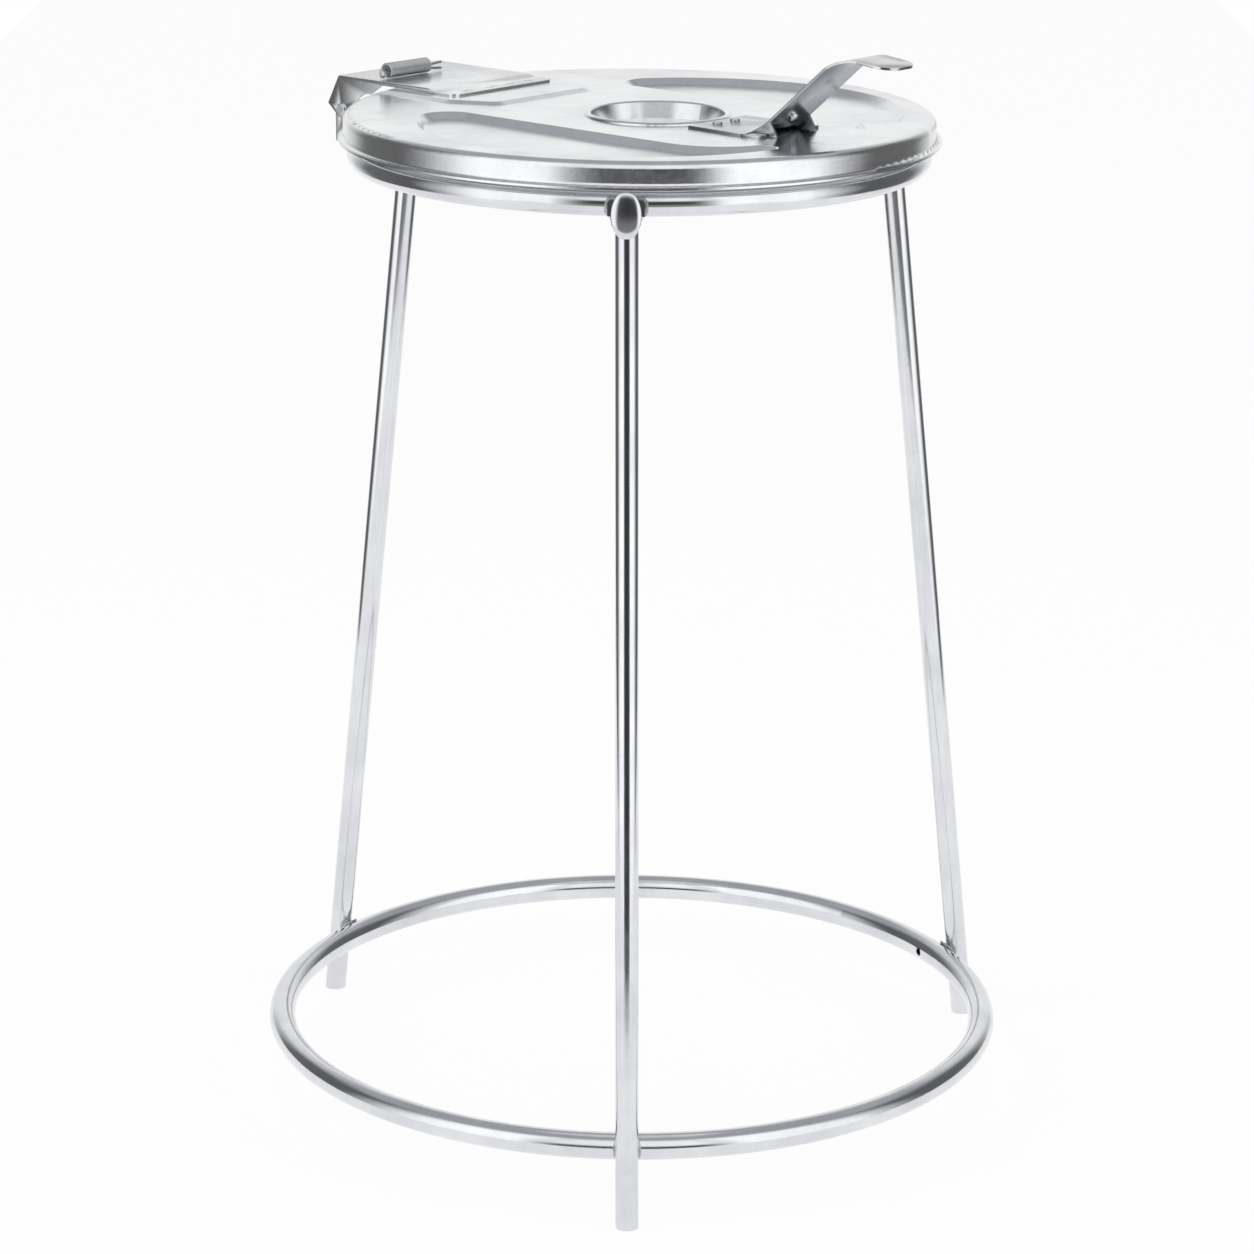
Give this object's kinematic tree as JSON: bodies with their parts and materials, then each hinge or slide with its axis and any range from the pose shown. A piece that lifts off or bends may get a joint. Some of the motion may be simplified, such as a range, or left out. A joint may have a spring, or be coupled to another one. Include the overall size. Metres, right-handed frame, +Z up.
{
  "type": "trash bag holder",
  "caption": "Tubular steel stand that holds a refuse sack open under a hinged pressed-metal lid with a lifting handle",
  "frame": {"origin": "on the floor, on the common axis of the two rings", "axes": "+Z up; -Y toward the handle, +Y toward the hinge; +X along the hinge pin, to the right of someone facing the handle"},
  "size_m": [0.5459, 0.5665, 0.7891],
  "materials": {
    "ring_tube": "zinc-plated steel tube, satin bright",
    "leg_tube": "zinc-plated steel tube, satin bright",
    "lid_sheet": "galvanised pressed steel sheet, bright",
    "hinge_steel": "zinc-plated pressed steel, bright",
    "handle_steel": "zinc-plated pressed steel, bright",
    "pin_steel": "bright steel wire and rod",
    "spring_steel": "bright spring wire",
    "rivet_steel": "bright steel rivets",
    "weld": "zinc-coated weld bead"
  },
  "bodies": {
    "frame": {"base_ring": "ring_tube", "top_ring": "ring_tube", "leg_front": "leg_tube", "leg_right": "leg_tube", "leg_rear": "leg_tube", "foot_welds": "weld", "head_welds": "weld", "hinge_bracket": "hinge_steel", "bracket_welds": "weld"},
    "lid": {"lid": "lid_sheet", "hinge_strap": "hinge_steel", "hinge_pin": "pin_steel", "hinge_spring": "spring_steel", "split_pin": "pin_steel", "handle": "handle_steel", "handle_rivets": "rivet_steel"}
  },
  "joints": [
    {"name": "lid_hinge", "type": "hinge", "parent": "frame", "child": "lid", "pos_m": [0, 0.247, 0.7105], "axis": [-1, 0, 0], "range_deg": [0, 100]}
  ]
}
